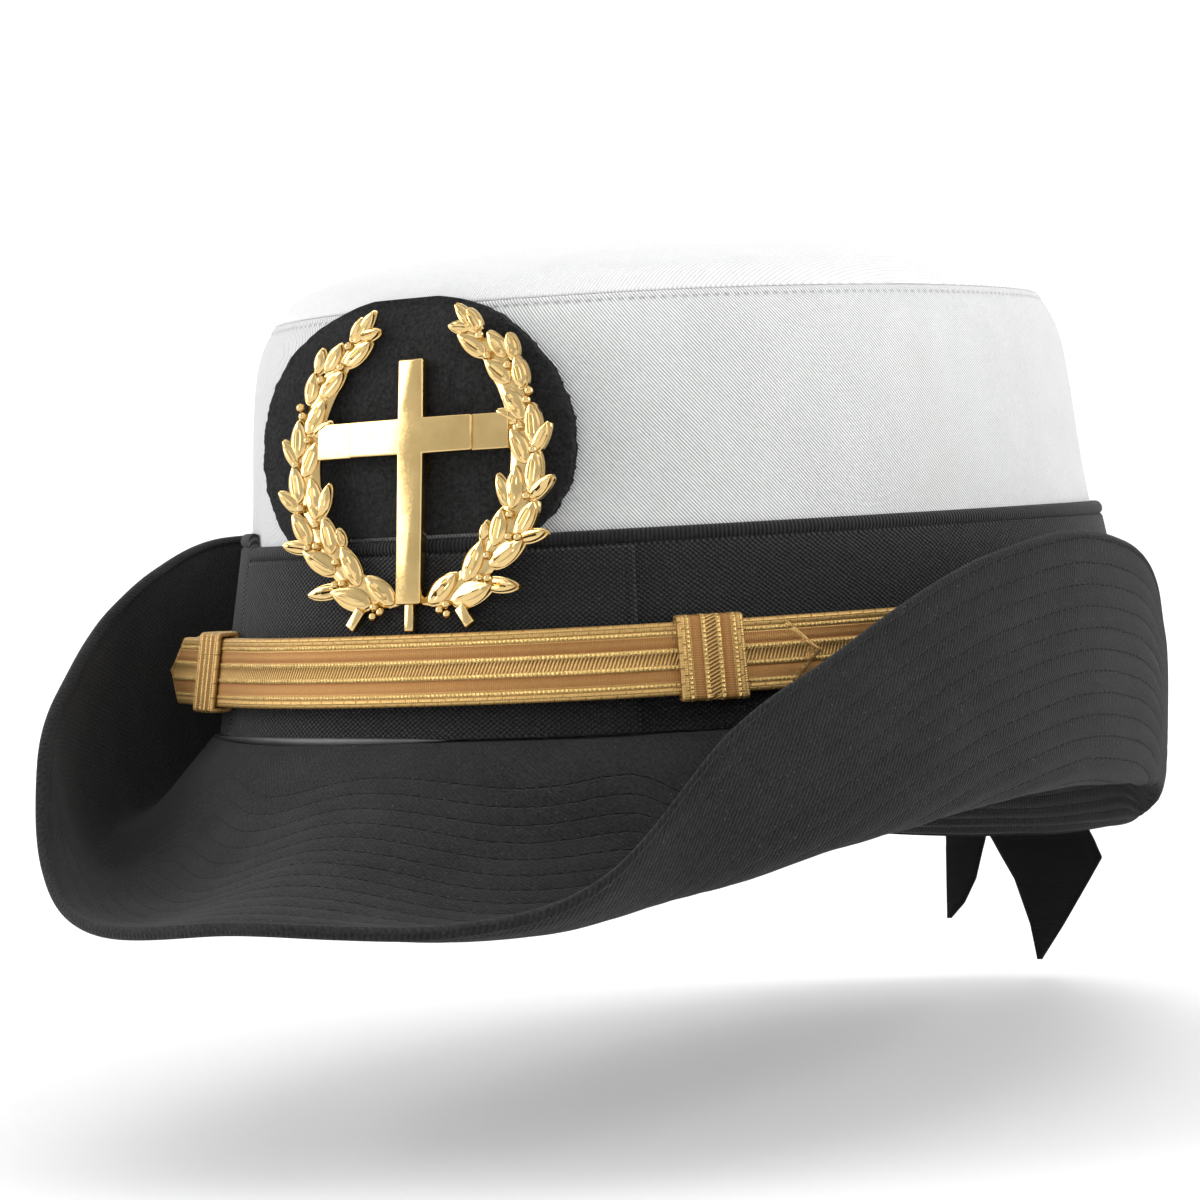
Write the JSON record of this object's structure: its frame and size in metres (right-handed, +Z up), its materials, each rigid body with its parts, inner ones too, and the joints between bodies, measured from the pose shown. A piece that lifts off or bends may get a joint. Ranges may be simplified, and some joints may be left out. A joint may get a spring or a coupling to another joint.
{
  "type": "women's dress uniform hat",
  "caption": "Dress hat with a domed white crown, black band, black brim turned up at the sides, gold chin strap, wreath-and-cross badge on felt and two ribbon tails.",
  "frame": {"origin": "Centre of the head opening, in the plane where the band meets the brim. +X is the wearer's left and -Y the front.", "axes": "+Z up out of the crown, +Y towards the back of the hat."},
  "size_m": [0.1974, 0.286, 0.1607],
  "materials": {
    "white_twill": "fine white twill, matt",
    "black_elastic": "ribbed black elastic webbing, matt",
    "black_twill": "black twill quilted with rows of stitching, matt",
    "black_felt": "black wool felt, dull",
    "gold_lace": "woven gold metal lace, satin",
    "gilt": "polished gilt",
    "black_ribbon": "black ribbon, soft sheen"
  },
  "bodies": {
    "root": {"crown_side": "white_twill", "crown_tip": "white_twill", "hat_band": "black_elastic", "band_front_panel": "black_elastic", "brim": "black_twill", "badge_backing": "black_felt", "cap_badge": "gilt", "chin_strap_inner": "gold_lace", "chin_strap_outer": "gold_lace", "strap_keeper_left": "gold_lace", "strap_keeper_right": "gold_lace", "strap_button_left": "gilt", "strap_button_right": "gilt", "ribbon_tail_left": "black_ribbon", "ribbon_tail_right": "black_ribbon"}
  },
  "joints": []
}
